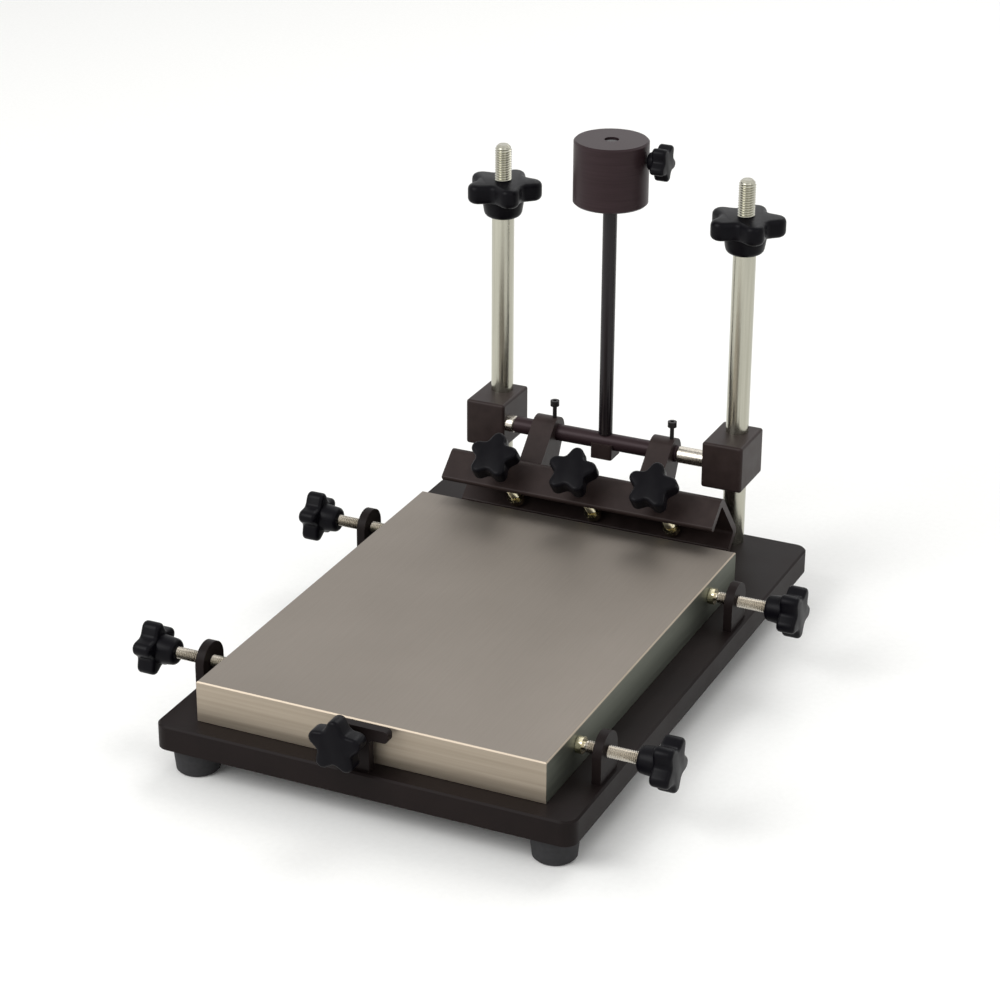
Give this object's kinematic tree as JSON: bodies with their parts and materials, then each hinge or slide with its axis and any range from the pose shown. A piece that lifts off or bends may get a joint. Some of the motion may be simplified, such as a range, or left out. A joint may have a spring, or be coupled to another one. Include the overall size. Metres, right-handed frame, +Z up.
{
  "type": "screen printing press",
  "caption": "Tabletop screen printing press: flat print table set by star-knob screws on a base plate, with a hinged, counterweighted frame clamp carried on upright columns.",
  "frame": {"origin": "on the surface that the feet stand on, under the middle of the whole press", "axes": "+X to the operator's right, +Y to the back where the columns stand, +Z up"},
  "size_m": [0.372, 0.453, 0.3293],
  "materials": {
    "black_paint": "satin black enamel",
    "ground_table": "ground, fine lengthwise marks",
    "polished_steel": "polished",
    "bright_steel": "turned bright",
    "zinc_plate": "zinc plated",
    "burnished_steel": "dark burnished",
    "black_screw": "black oxide",
    "knob_plastic": "moulded, slightly glossy",
    "foot_rubber": "matt"
  },
  "bodies": {
    "base": {"base_plate": "black_paint", "rubber_foot_1": "foot_rubber", "rubber_foot_2": "foot_rubber", "rubber_foot_3": "foot_rubber", "rubber_foot_4": "foot_rubber", "foot_screws": "black_screw", "side_bracket_1": "black_paint", "side_bracket_2": "black_paint", "side_bracket_3": "black_paint", "side_bracket_4": "black_paint", "front_bracket": "black_paint", "bracket_screws": "black_screw", "column_left": "polished_steel", "column_right": "polished_steel"},
    "front_pad": {"front_pad": "zinc_plate"},
    "front_adjuster": {"front_screw": "bright_steel", "front_knob": "knob_plastic"},
    "table": {"print_table": "ground_table"},
    "side_pad_1": {"adjuster_pad_1": "zinc_plate"},
    "side_adjuster_1": {"adjuster_screw_1": "bright_steel", "adjuster_knob_1": "knob_plastic"},
    "side_pad_2": {"adjuster_pad_2": "zinc_plate"},
    "side_adjuster_2": {"adjuster_screw_2": "bright_steel", "adjuster_knob_2": "knob_plastic"},
    "side_pad_3": {"adjuster_pad_3": "zinc_plate"},
    "side_adjuster_3": {"adjuster_screw_3": "bright_steel", "adjuster_knob_3": "knob_plastic"},
    "side_pad_4": {"adjuster_pad_4": "zinc_plate"},
    "side_adjuster_4": {"adjuster_screw_4": "bright_steel", "adjuster_knob_4": "knob_plastic"},
    "left_column_knob": {"column_knob_left": "knob_plastic"},
    "right_column_knob": {"column_knob_right": "knob_plastic"},
    "carriage": {"slide_block_left": "black_paint", "slide_block_right": "black_paint", "block_screws": "black_screw", "pivot_pin_left": "bright_steel", "pivot_pin_right": "bright_steel"},
    "swing": {"hinge_shaft": "burnished_steel", "swing_arm_left": "black_paint", "swing_arm_right": "black_paint", "arm_screws": "black_screw", "frame_clamp": "black_paint", "weight_rod": "burnished_steel", "rod_saddle": "black_paint"},
    "frame_pad_1": {"clamp_pad_1": "zinc_plate"},
    "frame_screw_1": {"clamp_screw_1": "zinc_plate", "clamp_knob_1": "knob_plastic"},
    "frame_pad_2": {"clamp_pad_2": "zinc_plate"},
    "frame_screw_2": {"clamp_screw_2": "zinc_plate", "clamp_knob_2": "knob_plastic"},
    "frame_pad_3": {"clamp_pad_3": "zinc_plate"},
    "frame_screw_3": {"clamp_screw_3": "zinc_plate", "clamp_knob_3": "knob_plastic"},
    "weight": {"counterweight": "burnished_steel"},
    "weight_lock": {"weight_lock_screw": "black_screw", "weight_lock_knob": "knob_plastic"}
  },
  "joints": [
    {"name": "front_knob_turn", "type": "hinge", "parent": "front_pad", "child": "front_adjuster", "pos_m": [-0.007, -0.195, 0.0603], "axis": [0, 1, 0], "range_deg": [-721, 721]},
    {"name": "front_pad_feed", "type": "slide", "parent": "base", "child": "front_pad", "axis": [0, 1, 0], "range_m": [-0.002, 0.002]},
    {"name": "table_shift", "type": "slide", "parent": "front_pad", "child": "table", "axis": [1, 0, 0], "range_m": [-0.003, 0.003]},
    {"name": "side_adjuster_2_turn", "type": "hinge", "parent": "side_pad_2", "child": "side_adjuster_2", "pos_m": [0.15, -0.148, 0.0543], "axis": [-1, 0, 0], "range_deg": [-865, 865]},
    {"name": "side_pad_2_feed", "type": "slide", "parent": "base", "child": "side_pad_2", "axis": [-1, 0, 0], "range_m": [-0.00301, 0.00301]},
    {"name": "side_adjuster_1_turn", "type": "hinge", "parent": "side_pad_1", "child": "side_adjuster_1", "pos_m": [-0.15, -0.148, 0.0543], "axis": [1, 0, 0], "range_deg": [-865, 865]},
    {"name": "side_pad_1_feed", "type": "slide", "parent": "base", "child": "side_pad_1", "axis": [1, 0, 0], "range_m": [-0.00301, 0.00301]},
    {"name": "side_adjuster_3_turn", "type": "hinge", "parent": "side_pad_3", "child": "side_adjuster_3", "pos_m": [-0.15, 0.076, 0.0543], "axis": [1, 0, 0], "range_deg": [-865, 865]},
    {"name": "side_pad_3_feed", "type": "slide", "parent": "base", "child": "side_pad_3", "axis": [1, 0, 0], "range_m": [-0.00301, 0.00301]},
    {"name": "side_adjuster_4_turn", "type": "hinge", "parent": "side_pad_4", "child": "side_adjuster_4", "pos_m": [0.15, 0.076, 0.0543], "axis": [-1, 0, 0], "range_deg": [-865, 865]},
    {"name": "side_pad_4_feed", "type": "slide", "parent": "base", "child": "side_pad_4", "axis": [-1, 0, 0], "range_m": [-0.00301, 0.00301]},
    {"name": "left_column_knob_turn", "type": "hinge", "parent": "base", "child": "left_column_knob", "pos_m": [-0.091, 0.199, 0.2546], "axis": [0, 0, 1], "range_deg": [0, 720]},
    {"name": "right_column_knob_turn", "type": "hinge", "parent": "base", "child": "right_column_knob", "pos_m": [0.091, 0.199, 0.2546], "axis": [0, 0, 1], "range_deg": [0, 720]},
    {"name": "carriage_lift", "type": "slide", "parent": "base", "child": "carriage", "axis": [0, 0, 1], "range_m": [0, 0.07]},
    {"name": "swing_open", "type": "hinge", "parent": "carriage", "child": "swing", "pos_m": [0, 0.177, 0.1063], "axis": [-1, 0, 0], "range_deg": [0, 95]},
    {"name": "frame_screw_1_turn", "type": "hinge", "parent": "frame_pad_1", "child": "frame_screw_1", "pos_m": [-0.06, 0.14176, 0.07673], "axis": [0, 0.6428, -0.766], "range_deg": [-4350, 750]},
    {"name": "frame_pad_1_feed", "type": "slide", "parent": "swing", "child": "frame_pad_1", "axis": [0, 0.6428, -0.766], "range_m": [-0.0151, 0.0026]},
    {"name": "frame_screw_2_turn", "type": "hinge", "parent": "frame_pad_2", "child": "frame_screw_2", "pos_m": [0, 0.14176, 0.07673], "axis": [0, 0.6428, -0.766], "range_deg": [-4350, 750]},
    {"name": "frame_pad_2_feed", "type": "slide", "parent": "swing", "child": "frame_pad_2", "axis": [0, 0.6428, -0.766], "range_m": [-0.0151, 0.0026]},
    {"name": "frame_screw_3_turn", "type": "hinge", "parent": "frame_pad_3", "child": "frame_screw_3", "pos_m": [0.06, 0.14176, 0.07673], "axis": [0, 0.6428, -0.766], "range_deg": [-4350, 750]},
    {"name": "frame_pad_3_feed", "type": "slide", "parent": "swing", "child": "frame_pad_3", "axis": [0, 0.6428, -0.766], "range_m": [-0.0151, 0.0026]},
    {"name": "weight_slide", "type": "slide", "parent": "swing", "child": "weight", "axis": [0, 0, 1], "range_m": [-0.12, 0]},
    {"name": "weight_lock_turn", "type": "hinge", "parent": "weight", "child": "weight_lock", "pos_m": [0.03, 0.177, 0.3178], "axis": [1, 0, 0], "range_deg": [0, 360]}
  ],
  "couplings": [
    {"joint": "front_knob_turn", "follows": "front_pad_feed", "rad_per_m": 6283.2},
    {"joint": "side_pad_2_feed", "follows": "table_shift", "ratio": -1},
    {"joint": "side_adjuster_2_turn", "follows": "table_shift", "rad_per_m": -5026.5},
    {"joint": "side_pad_1_feed", "follows": "table_shift", "ratio": 1},
    {"joint": "side_adjuster_1_turn", "follows": "table_shift", "rad_per_m": 5026.5},
    {"joint": "side_pad_3_feed", "follows": "table_shift", "ratio": 1},
    {"joint": "side_adjuster_3_turn", "follows": "table_shift", "rad_per_m": 5026.5},
    {"joint": "side_pad_4_feed", "follows": "table_shift", "ratio": -1},
    {"joint": "side_adjuster_4_turn", "follows": "table_shift", "rad_per_m": -5026.5},
    {"joint": "frame_screw_1_turn", "follows": "frame_pad_1_feed", "rad_per_m": 5026.5},
    {"joint": "frame_screw_2_turn", "follows": "frame_pad_2_feed", "rad_per_m": 5026.5},
    {"joint": "frame_screw_3_turn", "follows": "frame_pad_3_feed", "rad_per_m": 5026.5}
  ]
}
